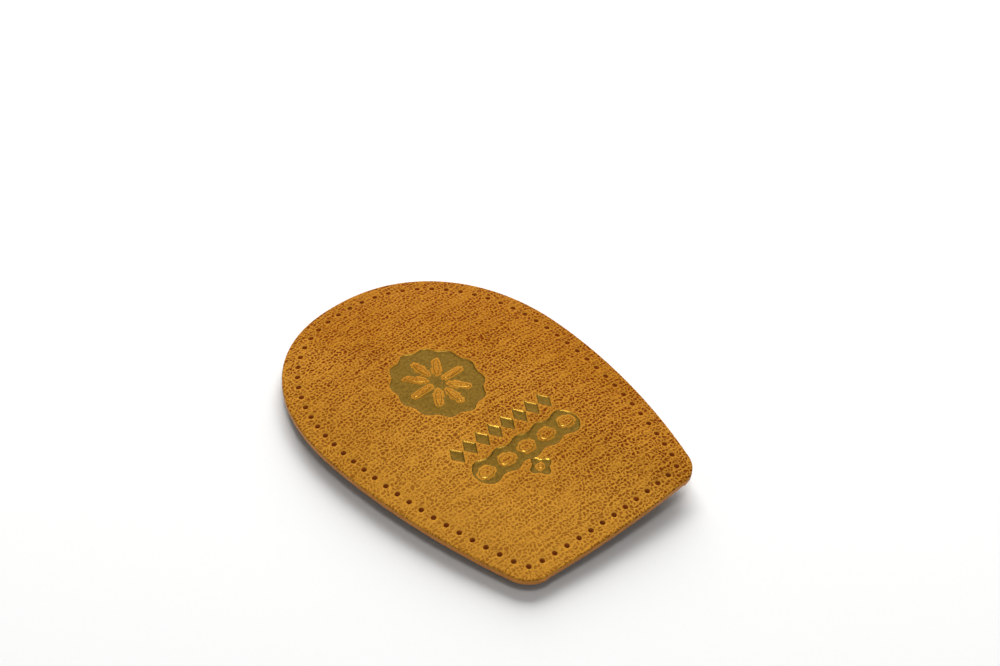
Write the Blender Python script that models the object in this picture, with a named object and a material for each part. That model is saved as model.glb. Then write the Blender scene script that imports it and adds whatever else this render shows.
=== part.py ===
"""Corrective heel pad for a shoe: a leather cover on a perforated foam cushion, with a wedge under one side.

Metres, +Z up. The front edge of the pad faces +Y, and the wedge is thickest along the -X side.
The flat tread of the wedge lies on z = 0, and the origin is below the middle of the pad.
Every piece is a solid between two height functions over a flat plan, so a size can change by itself.
"""

import math
from bisect import bisect_right

import bpy
from mathutils import Vector
from mathutils.geometry import delaunay_2d_cdt

MM = 0.001

# Outline of the leather cover, seen from above
PAD_LENGTH = 83.5 * MM
PAD_WIDTH = 60.0 * MM
HEEL_DEPTH = 37.0 * MM  # from the back of the heel to the widest place
HEEL_SQUARENESS = 2.2  # exponent of the heel's curve, where 2 is an ellipse
FRONT_WIDTH = 44.4 * MM  # between the front corners before they are rounded
SIDE_CURVE = 2.0  # exponent of the sides' curve towards the front
FRONT_BOW = 1.0 * MM  # how far the front edge bulges forwards
CORNER_RADIUS = 6.0 * MM
OUTLINE_SIDES = 132

# Layers
LEATHER_THICKNESS = 1.1 * MM
LEATHER_EDGE_ROUND = 0.3 * MM
FOAM_EDGE_THICKNESS = 1.0 * MM
FOAM_CROWN = 2.6 * MM  # how much thicker the foam is in the middle
FOAM_INSET = 0.8 * MM  # from the leather's edge to the foam's edge
FOAM_EDGE_BEVEL = 0.35 * MM
SKIVE_WIDTH = 4.0 * MM  # the foam is pared thin along the front edge
SKIVE_DEPTH = 0.45 * MM
GLUE_GAP = 0.3 * MM
END_DROOP = 1.2 * MM  # the layers bend down towards the heel and the front

# Wedge
WEDGE_THIN = 1.1 * MM
WEDGE_THICK = 3.8 * MM
WEDGE_INSET = 2.3 * MM  # from the leather's edge to the wedge's outer edge
WEDGE_EDGE_BEVEL = 0.35 * MM
WEDGE_SIDES = 96
WEDGE_BACK_SHARE = 0.30  # where its outer edge starts on the thin side, as a share of the length
WEDGE_FRONT_SHARE = 0.86  # and where it ends on the thick side

# Holes punched through the leather, a fixed distance inside its edge
PUNCH_INSET = 3.1 * MM
PUNCH_PITCH = 3.0 * MM
PUNCH_RADIUS = 0.55 * MM
PUNCH_SIDES = 8

# Holes through the foam, in staggered rows
FOAM_HOLE_RADIUS = 0.6 * MM
FOAM_HOLE_PITCH = 6.85 * MM
FOAM_ROW_PITCH = 6.1 * MM
FOAM_FIRST_ROW = 6.2 * MM  # from the front edge of the leather
FOAM_ROW_SHIFT = 3.0 * MM
FOAM_HOLE_MARGIN = 0.8 * MM
FOAM_HOLE_SIDES = 8

# Tread moulded into the underside of the wedge
GROOVE_WIDTH = 0.7 * MM
GROOVE_DEPTH = 0.35 * MM
TREAD_BORDER = 1.4 * MM
ROW_PITCH = 4.4 * MM
ROW_RADIUS = 36.0 * MM
ROW_STEP = 4.0 * MM  # length of a row groove's straight stretches
DIAGONAL_PITCH = 3.4 * MM
DIAGONAL_ANGLE = math.radians(130)
SHORTEST_GROOVE = 2.2 * MM
CLIP_STEP = 0.3 * MM
PLAIN_PATCH_LENGTH = 24.0 * MM  # a smooth oval in the tread under the heel
PLAIN_PATCH_WIDTH = 12.0 * MM
PLAIN_PATCH_FROM_HEEL = 21.5 * MM

HALF_WIDTH = PAD_WIDTH / 2
HALF_LENGTH = PAD_LENGTH / 2
WIDEST_Y = HEEL_DEPTH - HALF_LENGTH

# The wedge's inner edge from the front tip to the heel, where across is a share of the pad's half width
# and along is a share of its length measured from the heel
INNER_EDGE = [
    # across, along
    (-0.70, 0.918),
    (-0.60, 0.930),
    (-0.44, 0.905),
    (-0.26, 0.830),
    (-0.16, 0.730),
    (-0.09, 0.600),
    (0.00, 0.500),
    (0.20, 0.455),
    (0.52, 0.405),
    (0.80, 0.370),
    (0.90, 0.345),
]

CDT_TRIANGLES = 0  # delaunay_2d_cdt's output type that fills the whole hull with triangles
CDT_TOLERANCE = 0.004  # in millimetres


def lerp(a, b, share):
    return a + (b - a) * share


def resample(loop, count):
    """The closed loop again, with count points at equal distances."""
    closed = [Vector(p) for p in loop] + [Vector(loop[0])]
    reached = [0.0]
    for a, b in zip(closed, closed[1:]):
        reached.append(reached[-1] + (b - a).length)
    points = []
    for i in range(count):
        goal = reached[-1] * i / count
        k = bisect_right(reached, goal) - 1
        share = (goal - reached[k]) / (reached[k + 1] - reached[k])
        points.append(closed[k].lerp(closed[k + 1], share))
    return points


def perimeter(loop):
    return sum((b - a).length for a, b in zip(loop, loop[1:] + loop[:1]))


def inset(loop, distance):
    """The counter-clockwise loop moved inwards by that distance."""
    moved = []
    for before, here, after in zip(loop[-1:] + loop[:-1], loop, loop[1:] + loop[:1]):
        along = (after - before).normalized()
        moved.append(here + Vector((-along.y, along.x)) * distance)
    return moved


def inside(point, loop):
    """True if the point lies inside the closed loop."""
    crossings = 0
    for a, b in zip(loop, loop[1:] + loop[:1]):
        if (a.y > point.y) != (b.y > point.y):
            x = lerp(a.x, b.x, (point.y - a.y) / (b.y - a.y))
            crossings += x > point.x
    return crossings % 2 == 1


def distance_to_segment(point, a, b):
    along = b - a
    share = (point - a).dot(along) / along.length_squared
    return (point - a - along * min(1.0, max(0.0, share))).length


def distance_to_loop(point, loop):
    return min(distance_to_segment(point, a, b) for a, b in zip(loop, loop[1:] + loop[:1]))


def circle(centre, radius, sides):
    turns = [2 * math.pi * i / sides for i in range(sides)]
    return [centre + Vector((math.cos(t), math.sin(t))) * radius for t in turns]


def front_edge_y(x):
    return HALF_LENGTH - FRONT_BOW * (2 * x / FRONT_WIDTH) ** 2


def heel_curve(steps):
    """From the back of the heel to the widest place, on the +X side."""
    points = []
    for i in range(steps):
        turn = math.pi / 2 * i / steps
        across = math.sin(turn) ** (2 / HEEL_SQUARENESS)
        back = math.cos(turn) ** (2 / HEEL_SQUARENESS)
        points.append(Vector((HALF_WIDTH * across, WIDEST_Y - HEEL_DEPTH * back)))
    return points


def side_curve(steps):
    """From the widest place to the front corner before it is rounded, on the +X side."""
    corner_y = front_edge_y(FRONT_WIDTH / 2)
    shares = [i / steps for i in range(steps + 1)]
    return [
        Vector((
            lerp(HALF_WIDTH, FRONT_WIDTH / 2, share**SIDE_CURVE),
            lerp(WIDEST_Y, corner_y, share),
        ))
        for share in shares
    ]


def corner_and_front(side, steps):
    """The side up to its rounded corner, the corner's arc, and the front edge up to its middle."""
    for k in range(1, len(side)):
        along = (side[k] - side[k - 1]).normalized()
        centre = side[k] + Vector((-along.y, along.x)) * CORNER_RADIUS
        if front_edge_y(centre.x) - centre.y <= CORNER_RADIUS:
            break
    start = math.atan2(side[k].y - centre.y, side[k].x - centre.x)
    arc_turns = [lerp(start, math.pi / 2, i / steps) for i in range(1, steps)]
    arc = [centre + Vector((math.cos(t), math.sin(t))) * CORNER_RADIUS for t in arc_turns]
    front_xs = [lerp(centre.x, 0, i / steps) for i in range(steps)]
    return side[: k + 1] + arc + [Vector((x, front_edge_y(x))) for x in front_xs]


def pad_outline():
    """The leather's edge as a counter-clockwise loop that starts at the back of the heel."""
    steps = 120
    half = heel_curve(steps) + corner_and_front(side_curve(steps), steps // 10)
    mirrored = [Vector((-p.x, p.y)) for p in reversed(half[1:])]
    return half + [Vector((0, HALF_LENGTH))] + mirrored


def cut_corners(loop, rounds):
    """Smooths a closed loop of control points by cutting each corner, round after round."""
    for _ in range(rounds):
        pairs = list(zip(loop, loop[1:] + loop[:1]))
        loop = [a.lerp(b, share) for a, b in pairs for share in (0.25, 0.75)]
    return loop


def wedge_outline(outline):
    """The wedge seen from above: the pad's edge moved inwards round the heel, closed by the inner edge."""
    edge = resample(inset(outline, WEDGE_INSET), WEDGE_SIDES // 2)
    back_y = lerp(-HALF_LENGTH, HALF_LENGTH, WEDGE_BACK_SHARE)
    front_y = lerp(-HALF_LENGTH, HALF_LENGTH, WEDGE_FRONT_SHARE)
    half = len(edge) // 2
    thick_side = [p for p in edge[half:] if p.y < front_y]
    thin_side = [p for p in edge[:half] if p.y < back_y]
    inner = [
        Vector((across * HALF_WIDTH, lerp(-HALF_LENGTH, HALF_LENGTH, along)))
        for across, along in reversed(INNER_EDGE)
    ]
    return resample(cut_corners(thick_side + thin_side + inner, 3), WEDGE_SIDES)


class Crown:
    """How high the middle of the foam stands, by how far a place lies from the rim."""

    def __init__(self, outline):
        centre = Vector((0, WIDEST_Y))
        spokes = sorted((math.atan2(p.x, centre.y - p.y), (p - centre).length) for p in outline)
        self.centre = centre
        self.turns = [spokes[-1][0] - 2 * math.pi] + [t for t, _ in spokes] + [spokes[0][0] + 2 * math.pi]
        self.reaches = [spokes[-1][1]] + [r for _, r in spokes] + [spokes[0][1]]

    def rim_share(self, x, y):
        """0 at the centre and 1 on the leather's edge."""
        turn = math.atan2(x, self.centre.y - y)
        k = min(bisect_right(self.turns, turn), len(self.turns) - 1)
        share = (turn - self.turns[k - 1]) / (self.turns[k] - self.turns[k - 1])
        reach = lerp(self.reaches[k - 1], self.reaches[k], share)
        return math.hypot(x, y - self.centre.y) / reach

    def height(self, x, y):
        return FOAM_CROWN * (1 - min(1.0, self.rim_share(x, y)) ** 2)


def wedge_top(x, y):
    """Rises from the thin side to the thick side, and falls a little towards both ends."""
    thin_x = HALF_WIDTH - WEDGE_INSET
    share = (thin_x - x) / (2 * thin_x)
    return lerp(WEDGE_THIN, WEDGE_THICK, share) - END_DROOP * (y / HALF_LENGTH) ** 2


def foam_bottom(x, y):
    """Lies on the wedge, and rises where the foam is pared along the front edge."""
    foam_front = front_edge_y(x) - FOAM_INSET
    pared = max(0.0, y - (foam_front - SKIVE_WIDTH)) / SKIVE_WIDTH
    return wedge_top(x, y) + GLUE_GAP + SKIVE_DEPTH * pared


def clip(path, keep):
    """The stretches of a path, sampled point by point, that lie where keep is true."""
    runs = [[]]
    for point in path:
        if keep(point):
            runs[-1].append(point)
        elif runs[-1]:
            runs.append([])
    return [run for run in runs if len(run) * CLIP_STEP > SHORTEST_GROOVE]


def thinned(run, step):
    """The same stretch with a point about every step."""
    pieces = max(1, round(len(run) * CLIP_STEP / step))
    return [run[round((len(run) - 1) * i / pieces)] for i in range(pieces + 1)]


def arc_row(crest_y):
    """A row of the tread: an arc whose crest lies on the pad's axis."""
    steps = int(HALF_WIDTH / CLIP_STEP)
    xs = [i * CLIP_STEP for i in range(-steps, steps + 1)]
    return [Vector((x, crest_y - ROW_RADIUS + math.sqrt(ROW_RADIUS**2 - x**2))) for x in xs]


def diagonal(offset):
    """A straight line of the tread, at that distance from the middle of the pad."""
    along = Vector((math.cos(DIAGONAL_ANGLE), math.sin(DIAGONAL_ANGLE)))
    start = Vector((-along.y, along.x)) * offset
    steps = int(PAD_LENGTH / CLIP_STEP)
    return [start + along * (i * CLIP_STEP) for i in range(-steps, steps + 1)]


def tread_grooves(wedge):
    """The middle lines of the grooves, clipped to the tread and kept out of its plain patch."""
    field = inset(wedge, TREAD_BORDER)
    patch = Vector((0, PLAIN_PATCH_FROM_HEEL - HALF_LENGTH))

    def in_tread(point):
        off = point - patch
        oval = (2 * off.x / PLAIN_PATCH_LENGTH) ** 2 + (2 * off.y / PLAIN_PATCH_WIDTH) ** 2
        return oval > 1 and inside(point, field)

    rows = int(PAD_LENGTH / ROW_PITCH)
    lines = int(PAD_LENGTH / DIAGONAL_PITCH)
    grooves = []
    for i in range(-rows, rows + 1):
        grooves += [thinned(run, ROW_STEP) for run in clip(arc_row(i * ROW_PITCH), in_tread)]
    for i in range(-lines, lines + 1):
        grooves += [[run[0], run[-1]] for run in clip(diagonal(i * DIAGONAL_PITCH), in_tread)]
    return grooves


def groove_lines(groove):
    """A groove's outline with pointed ends, and its middle line, as lines of the plan."""
    reach = GROOVE_WIDTH / 2
    lefts, rights = [], []
    for k, here in enumerate(groove):
        along = (groove[min(k + 1, len(groove) - 1)] - groove[max(k - 1, 0)]).normalized()
        aside = Vector((-along.y, along.x)) * reach
        lefts.append(here + aside)
        rights.append(here - aside)
    first = groove[0] - (groove[1] - groove[0]).normalized() * reach
    last = groove[-1] + (groove[-1] - groove[-2]).normalized() * reach
    return [[first] + lefts + [last] + rights[::-1] + [first], [first] + groove + [last]]


def groove_height(point, grooves):
    """How deep the V of the nearest groove is at a place, and 0 on the lands."""
    reach = GROOVE_WIDTH / 2
    nearest = reach
    for groove in grooves:
        for a, b in zip(groove, groove[1:]):
            nearest = min(nearest, distance_to_segment(point, a, b))
    share = 1 - nearest / reach
    land = 0.05
    return GROOVE_DEPTH * share if share > land else 0.0


def plan_triangles(loops, lines, spots):
    """Triangles that fill the first loop, leave the other loops open, and keep to the lines and spots.

    Returns the places, the triangles, and for each loop the numbers of its places with the solid on their left.
    """
    places, edges, faces = [], [], []
    for loop in loops:
        numbers = list(range(len(places), len(places) + len(loop)))
        places += loop
        faces.append(numbers)
    for line in lines:
        first = len(places)
        places += line
        edges += [(k, k + 1) for k in range(first, first + len(line) - 1)]
    places += spots
    flat = [Vector((p.x, p.y)) / MM for p in places]
    made = delaunay_2d_cdt(flat, edges, faces, CDT_TRIANGLES, CDT_TOLERANCE)
    found, _, triangles, sources, _, covers = made
    number_of = {source: k for k, group in enumerate(sources) for source in group}
    kept = [tuple(t) for t, cover in zip(triangles, covers) if list(cover) == [0]]
    rims = [[number_of[n] for n in face] for face in faces[:1] + [f[::-1] for f in faces[1:]]]
    return [Vector(p) * MM for p in found], kept, rims


def solid(name, loops, low, high, material, parent):
    """One closed solid over a plan. low and high each give a side: its height function, the lines and spots
    that its triangles follow, and how far its outer edge is moved up."""
    vertices, faces, sides = [], [], []
    for height, lines, spots, edge_shift in (low, high):
        places, triangles, rims = plan_triangles(loops, lines, spots)
        on_edge = set(rims[0])
        first = len(vertices)
        for k, p in enumerate(places):
            vertices.append((p.x, p.y, height(p.x, p.y) + (edge_shift if k in on_edge else 0)))
        upward = height is high[0]
        for a, b, c in triangles:
            faces.append((first + a, first + b, first + c) if upward else (first + c, first + b, first + a))
        sides.append([[first + n for n in rim] for rim in rims])
    for lower, upper in zip(*sides):
        for k in range(len(lower)):
            j = (k + 1) % len(lower)
            faces.append((lower[k], lower[j], upper[j], upper[k]))
    mesh = bpy.data.meshes.new(name)
    mesh.from_pydata(vertices, [], faces)
    mesh.shade_smooth()
    mesh.set_sharp_from_angle(angle=math.radians(35))
    mesh.materials.append(material)
    piece = bpy.data.objects.new(name, mesh)
    piece.parent = parent
    bpy.context.scene.collection.objects.link(piece)
    return piece


def rings(outline, shares):
    """Spots on smaller and smaller copies of the outline, so that triangles follow a curved surface."""
    spots = [Vector((0, WIDEST_Y))]
    for share in shares:
        count = max(8, round(OUTLINE_SIDES * share / 3))
        spots += [spots[0].lerp(p, share) for p in resample(outline, count)]
    return spots


def material(name, colour, roughness):
    made = bpy.data.materials.new(name)
    made.use_nodes = True
    shader = made.node_tree.nodes["Principled BSDF"]
    shader.inputs["Base Color"].default_value = (*colour, 1)
    shader.inputs["Roughness"].default_value = roughness
    shader.inputs["Metallic"].default_value = 0
    return made


def leather_cover(outline, crown, parent):
    def bottom(x, y):
        return wedge_top(x, y) + GLUE_GAP + FOAM_EDGE_THICKNESS + crown.height(x, y) + GLUE_GAP

    def top(x, y):
        return bottom(x, y) + LEATHER_THICKNESS

    punch_line = inset(outline, PUNCH_INSET)
    count = round(perimeter(punch_line) / PUNCH_PITCH)
    centres = resample(punch_line, 2 * count)[1::2]  # no hole lies on the pad's axis
    holes = [circle(c, PUNCH_RADIUS, PUNCH_SIDES) for c in centres]
    rounded = inset(outline, LEATHER_EDGE_ROUND)
    spots = rings(outline, (0.8, 0.6, 0.4, 0.2))
    low = (bottom, [], spots, 0)
    high = (top, [rounded + rounded[:1]], spots, -LEATHER_EDGE_ROUND)
    tan = material("tan_leather", (0.56, 0.25, 0.04), 0.5)
    return solid("leather_cover", [outline] + holes, low, high, tan, parent)


def foam_hole_centres(edge, wedge):
    """Staggered rows of holes, away from the foam's edge and from the wedge, which covers the others."""
    near_edge = FOAM_HOLE_RADIUS + FOAM_HOLE_MARGIN
    centres = []
    for row in range(int(PAD_LENGTH / FOAM_ROW_PITCH) + 1):
        y = HALF_LENGTH - FOAM_FIRST_ROW - row * FOAM_ROW_PITCH
        shift = FOAM_ROW_SHIFT - (row % 2) * FOAM_HOLE_PITCH / 2
        across = int(PAD_WIDTH / FOAM_HOLE_PITCH)
        for k in range(-across, across + 1):
            centre = Vector((shift + k * FOAM_HOLE_PITCH, y))
            in_foam = inside(centre, edge) and distance_to_loop(centre, edge) > near_edge
            clear = not inside(centre, wedge) and distance_to_loop(centre, wedge) > FOAM_HOLE_RADIUS
            if in_foam and clear:
                centres.append(centre)
    return centres


def foam_pad(outline, crown, wedge, parent):
    def top(x, y):
        return wedge_top(x, y) + GLUE_GAP + FOAM_EDGE_THICKNESS + crown.height(x, y)

    edge = inset(outline, FOAM_INSET)
    holes = [circle(c, FOAM_HOLE_RADIUS, FOAM_HOLE_SIDES) for c in foam_hole_centres(edge, wedge)]
    bevel = inset(edge, FOAM_EDGE_BEVEL)
    skive_xs = [lerp(-HALF_WIDTH, HALF_WIDTH, i / 24) for i in range(25)]
    skive = [Vector((x, front_edge_y(x) - FOAM_INSET - SKIVE_WIDTH)) for x in skive_xs]
    field = inset(bevel, FOAM_EDGE_BEVEL)
    spots = rings(outline, (0.8, 0.6, 0.4, 0.2))
    low = (foam_bottom, [bevel + bevel[:1]], spots + [p for p in skive if inside(p, field)], FOAM_EDGE_BEVEL)
    high = (top, [], spots, 0)
    brown = material("latex_foam", (0.30, 0.17, 0.09), 0.9)
    return solid("foam_pad", [edge] + holes, low, high, brown, parent)


def side_wedge(wedge, parent):
    grooves = tread_grooves(wedge)
    bevel = inset(wedge, WEDGE_EDGE_BEVEL)
    lines = [line for groove in grooves for line in groove_lines(groove)]

    def tread(x, y):
        return groove_height(Vector((x, y)), grooves)

    spots = [Vector((p.x / 2, p.y)) for p in resample(wedge, WEDGE_SIDES // 2)]
    spots = [p for p in spots if inside(p, bevel)]
    low = (tread, [bevel + bevel[:1]] + lines, [], WEDGE_EDGE_BEVEL)
    high = (wedge_top, [], spots, 0)
    white = material("white_wedge", (0.66, 0.67, 0.65), 0.45)
    return solid("side_wedge", [wedge], low, high, white, parent)


def main():
    for old in list(bpy.data.objects):
        bpy.data.objects.remove(old)
    frame = bpy.data.objects.new("heel_pad", None)
    bpy.context.scene.collection.objects.link(frame)
    outline = resample(pad_outline(), OUTLINE_SIDES)
    crown = Crown(outline)
    wedge = wedge_outline(outline)
    leather_cover(outline, crown, frame)
    foam_pad(outline, crown, wedge, frame)
    side_wedge(wedge, frame)


main()
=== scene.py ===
"""Looks of the corrective heel pad, built round its packed frame.

It is laid out as a Blender add-on: settings, one operator for each group of pieces, and a sidebar panel.
All sizes are in metres, with +Y towards the pad's front edge and +Z up.
"""

import math
from functools import partial

import bpy
import numpy as np
from bpy.props import FloatProperty, PointerProperty, StringProperty
from mathutils import Matrix, Vector
from mathutils.geometry import delaunay_2d_cdt
from mathutils.kdtree import KDTree


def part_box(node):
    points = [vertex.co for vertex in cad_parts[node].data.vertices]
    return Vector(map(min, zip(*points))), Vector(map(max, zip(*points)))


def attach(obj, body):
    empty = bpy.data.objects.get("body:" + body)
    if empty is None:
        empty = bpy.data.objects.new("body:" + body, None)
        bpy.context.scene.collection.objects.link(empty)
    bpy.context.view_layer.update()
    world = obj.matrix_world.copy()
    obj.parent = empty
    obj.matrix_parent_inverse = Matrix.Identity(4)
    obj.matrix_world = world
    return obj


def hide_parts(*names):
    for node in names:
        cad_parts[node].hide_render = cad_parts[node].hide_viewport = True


bl_info = {
    "name": "Heel Pad Looks",
    "version": (1, 0, 0),
    "blender": (4, 5, 0),
    "location": "3D View > Sidebar > Heel Pad",
    "description": "Leather, foam, wedge and foil for the heel pad's frame",
    "category": "Object",
}

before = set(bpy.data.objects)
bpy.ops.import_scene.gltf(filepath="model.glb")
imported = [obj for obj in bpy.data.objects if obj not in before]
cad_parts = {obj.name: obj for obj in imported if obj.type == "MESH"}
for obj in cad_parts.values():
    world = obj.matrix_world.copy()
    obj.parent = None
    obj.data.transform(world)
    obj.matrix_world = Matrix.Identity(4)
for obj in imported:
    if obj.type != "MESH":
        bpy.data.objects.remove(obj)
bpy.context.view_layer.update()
COVER_LOW, COVER_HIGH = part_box("leather_cover")

MM = 0.001
BODY = "root"
CDT_TRIANGLES = 0  # delaunay_2d_cdt's output type that fills the whole hull with triangles
CDT_TOLERANCE = 0.002  # in millimetres

# How many points the curves have, and how often the wedge's corners are cut
OUTLINE_POINTS = 560
SIDE_STEPS = 160
CORNER_POINTS = 24
FRONT_POINTS = 40
WEDGE_GUIDES = 48
WEDGE_POINTS = 420
PUNCH_GUIDES = 132
PHASE_STEPS = 40
HOLE_SIDES = 20
GROOVE_END_SIDES = 14
BAND_POINTS = 150
WEDGE_CUTS = 4

# How far apart the points on each surface are, and how close they may come to a row, as a share of that
COVER_SPACING = 0.6 * MM
FLESH_SPACING = 1.5 * MM
FOIL_SPACING = 0.7 * MM
FOAM_SPACING = 1.1 * MM
WEDGE_SPACING = 1.2 * MM
GROOVE_STEP = 0.3 * MM
CLEARANCE = 0.6

# Rows of points that follow an edge, as shares of the edge's radius
COVER_ROWS = (0.02, 0.07, 0.16, 0.35, 0.65, 1.0, 1.6)
FOAM_ROWS = (0.08, 0.3, 0.65, 1.0, 1.8)
WEDGE_ROWS = (0.05, 0.2, 0.45, 0.75, 1.0, 1.7)
# Rows round a hole, in millimetres from its wall
PUNCH_COLLARS = (0.08, 0.2, 0.38, 0.65)
FOAM_COLLARS = (0.12, 0.35)
# Rows along the foil's edge, as shares of the pressed ramp
BED_ROWS = (-0.2, 0.2, 0.55, 0.95)
FOIL_ROWS = (0.2, 0.55, 0.95)
# Rows along a groove and round its ends, as shares of its half width
GROOVE_ROWS = (-1.35, -1, -0.5, 0, 0.5, 1, 1.35)
GROOVE_END_ROWS = (0.5, 1, 1.35)
SHORTEST_GROOVE = 2.2 * MM

# How far the punch's dimple, the foam's lip and the burnishing reach from an edge, and how high the lip is
DIMPLE_REACH = 0.32 * MM
LIP_REACH = 0.25 * MM
BURNISH_REACH = 0.12 * MM
LIP_HEIGHT = 0.1 * MM

# How far from the middle the pared band is straight, as a share of the width, and how fast it bends beyond
BAND_STRAIGHT = 0.36
BAND_BEND = 0.09

# The camera, fitted to the photograph's view of the pad
CAMERA_PLACE = (0.25547, 0.25840, 0.33782)
CAMERA_TARGET = (-0.01988, -0.01310, 0.005)
CAMERA_ROLL = math.radians(4.16)
FOCAL_LENGTH = 90.29  # in millimetres, as is the sensor's width
SENSOR_WIDTH = 36


# Settings


def length(name, description, millimetres):
    """A length setting, with its default in millimetres."""
    default = millimetres * MM
    return FloatProperty(name=name, description=description, default=default, unit="LENGTH", precision=5)


def share(name, description, default):
    """A setting between 0 and 1."""
    return FloatProperty(name=name, description=description, default=default, min=0, max=1, subtype="FACTOR")


def power(name, description, default):
    """A lamp's power, in watts."""
    return FloatProperty(name=name, description=description, default=default, unit="POWER")


def colour(name, description, default):
    """A colour setting, as an sRGB hex value."""
    return StringProperty(name=name, description=description, default=default)


class HeelPadShape(bpy.types.PropertyGroup):
    """The pad's outline and its layers, as in the frame."""

    length: length("Length", "From the back of the heel to the front edge", (COVER_HIGH.y - COVER_LOW.y) / MM)
    width: length("Width", "At the widest place of the heel", (COVER_HIGH.x - COVER_LOW.x) / MM)
    heel_depth: length("Heel depth", "From the back of the heel to the widest place", 37.0)
    squareness: FloatProperty(
        name="Heel squareness", description="2 is an ellipse", default=2.2, min=1.5, max=4
    )
    front_width: length("Front width", "Between the front corners before rounding", 44.4)
    front_bow: length("Front bow", "How far the front edge bulges forwards", 1.0)
    corner_radius: length("Corner radius", "Of the front corners", 6.0)
    leather: length("Leather thickness", "Of the cover", 1.1)
    leather_round: length("Leather edge radius", "Of the cover's upper edge", 0.25)
    foam_edge: length("Foam at the edge", "Thickness of the cushion at its rim", 1.0)
    foam_crown: length("Foam crown", "How much thicker the cushion is in the middle", 2.6)
    foam_inset: length("Foam inset", "From the leather's edge to the foam's edge", 0.8)
    foam_round: length("Foam edge radius", "Of the cushion's lower edge", 0.3)
    skive_width: length("Pared band", "Width of the pared band along the front", 4.0)
    skive_depth: length("Paring depth", "How thin the band is pared at the edge", 0.45)
    glue_gap: length("Glue gap", "Between two layers", 0.3)
    droop: length("End droop", "How far heel and front bend down", 1.2)
    wedge_thin: length("Wedge thin side", "Thickness at the thin side", 1.1)
    wedge_thick: length("Wedge thick side", "Thickness at the thick side", 3.8)
    wedge_inset: length("Wedge inset", "From the leather's edge to the wedge", 2.3)
    wedge_round: length("Wedge edge radius", "Of the wedge's lower edge", 0.45)
    wedge_back: share("Wedge back", "Where its outer edge starts, as a share of the length", 0.30)
    wedge_front: share("Wedge front", "Where its outer edge ends, as a share of the length", 0.86)


class HeelPadLeather(bpy.types.PropertyGroup):
    """The punched cover's holes and finish."""

    punch_inset: length("Hole line", "From the edge to the line of punched holes", 3.1)
    punch_pitch: length("Hole pitch", "Along the line of holes", 3.0)
    punch_radius: length("Hole radius", "Of a punched hole", 0.55)
    punch_phase: share("Hole phase", "Shifts the holes along their line, in pitches", 0.5)
    dimple: length("Dimple", "How far the punch pulls the leather down", 0.07)
    grain: length("Grain pitch", "Size of a pebble of the grain", 0.78)
    ridge: colour("Ridges", "Colour of the raised grain", "#D29330")
    pit: colour("Pits", "Colour of the low grain", "#723000")
    warm: colour("Warm side", "Colour of the ridges on the thick side", "#B27519")
    edge: colour("Cut edge", "Colour of the darker fibres of the cut edge", "#A26A18")
    flesh: colour("Flesh side", "Colour of the leather's underside", "#B58A45")
    raw: colour("Punched walls", "Colour of the undyed leather in the holes", "#DC8A2C")


class HeelPadFoil(bpy.types.PropertyGroup):
    """The pressed gold foil ornaments."""

    press: length("Pressing depth", "How deep the hot die presses the leather", 0.13)
    ramp: length("Ramp width", "Width of the pressed edge", 0.3)
    lift: length("Foil height", "Height of the foil above the leather", 0.02)
    gold: colour("Foil", "Colour of the gold foil", "#B98F38")


class HeelPadFoam(bpy.types.PropertyGroup):
    """The perforated cushion's holes and finish."""

    hole_radius: length("Hole radius", "Of a hole in the foam", 0.6)
    hole_pitch: length("Hole pitch", "Between holes of a row", 6.85)
    row_pitch: length("Row pitch", "Between rows of holes", 6.1)
    first_row: length("First row", "From the front edge of the leather", 6.2)
    row_shift: length("Row shift", "Sideways place of the first row", 3.0)
    margin: length("Margin", "Between a hole and the foam's edge", 0.8)
    skin: colour("Skin", "Colour of the brushed foam", "#8C6540")
    pared: colour("Pared band", "Colour of the pared foam", "#744F2F")


class HeelPadWedge(bpy.types.PropertyGroup):
    """The moulded wedge's tread and finish."""

    groove_width: length("Groove width", "Of a tread groove", 0.62)
    groove_depth: length("Groove depth", "Of a tread groove", 0.32)
    border: length("Tread border", "Plain rim round the tread", 1.4)
    row_pitch: length("Row pitch", "Between the crosswise grooves", 4.4)
    row_radius: length("Row radius", "Of the crosswise grooves", 36.0)
    diagonal_pitch: length("Diagonal pitch", "Between the slanted grooves", 3.4)
    diagonal_angle: FloatProperty(
        name="Diagonal angle", description="From crosswise", default=math.radians(130), subtype="ANGLE"
    )
    patch_length: length("Plain patch length", "Across the pad", 24.0)
    patch_width: length("Plain patch width", "Along the pad", 12.0)
    patch_from_heel: length("Plain patch place", "From the back of the heel", 21.5)
    white: colour("White", "Colour of the moulded foam rubber", "#C6C7C1")


class HeelPadStage(bpy.types.PropertyGroup):
    """The floor, the lights and the camera."""

    floor: colour("Floor", "Colour of the floor", "#F4F4F3")
    back_power: power("Back light", "Light from behind the pad", 37.0)
    top_power: power("Top light", "Soft overhead light", 0.8)
    card_power: power("Card", "Pale card that glossy surfaces mirror", 0.42)
    glint_power: power("Glint", "Small lamp for bright glints", 1.6)
    sky: FloatProperty(name="Fill", description="Strength of the even fill light", default=0.17, min=0)
    horizon: FloatProperty(name="Horizon", description="Strength of the pale walls", default=0.55, min=0)


# Flat curves


def lerp(a, b, part):
    return a + (b - a) * part


def closed(loop):
    return np.vstack([loop, loop[:1]])


def smooth(low, high, value):
    """0 below low, 1 above high, and a smooth rise between them."""
    part = np.clip((value - low) / (high - low), 0, 1)
    return part * part * (3 - 2 * part)


def resample(loop, count):
    """The closed loop again, with count points at equal distances."""
    path = closed(loop)
    reached = np.concatenate([[0], np.cumsum(np.linalg.norm(np.diff(path, axis=0), axis=1))])
    goals = np.linspace(0, reached[-1], count, endpoint=False)
    return np.column_stack([np.interp(goals, reached, path[:, axis]) for axis in (0, 1)])


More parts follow.
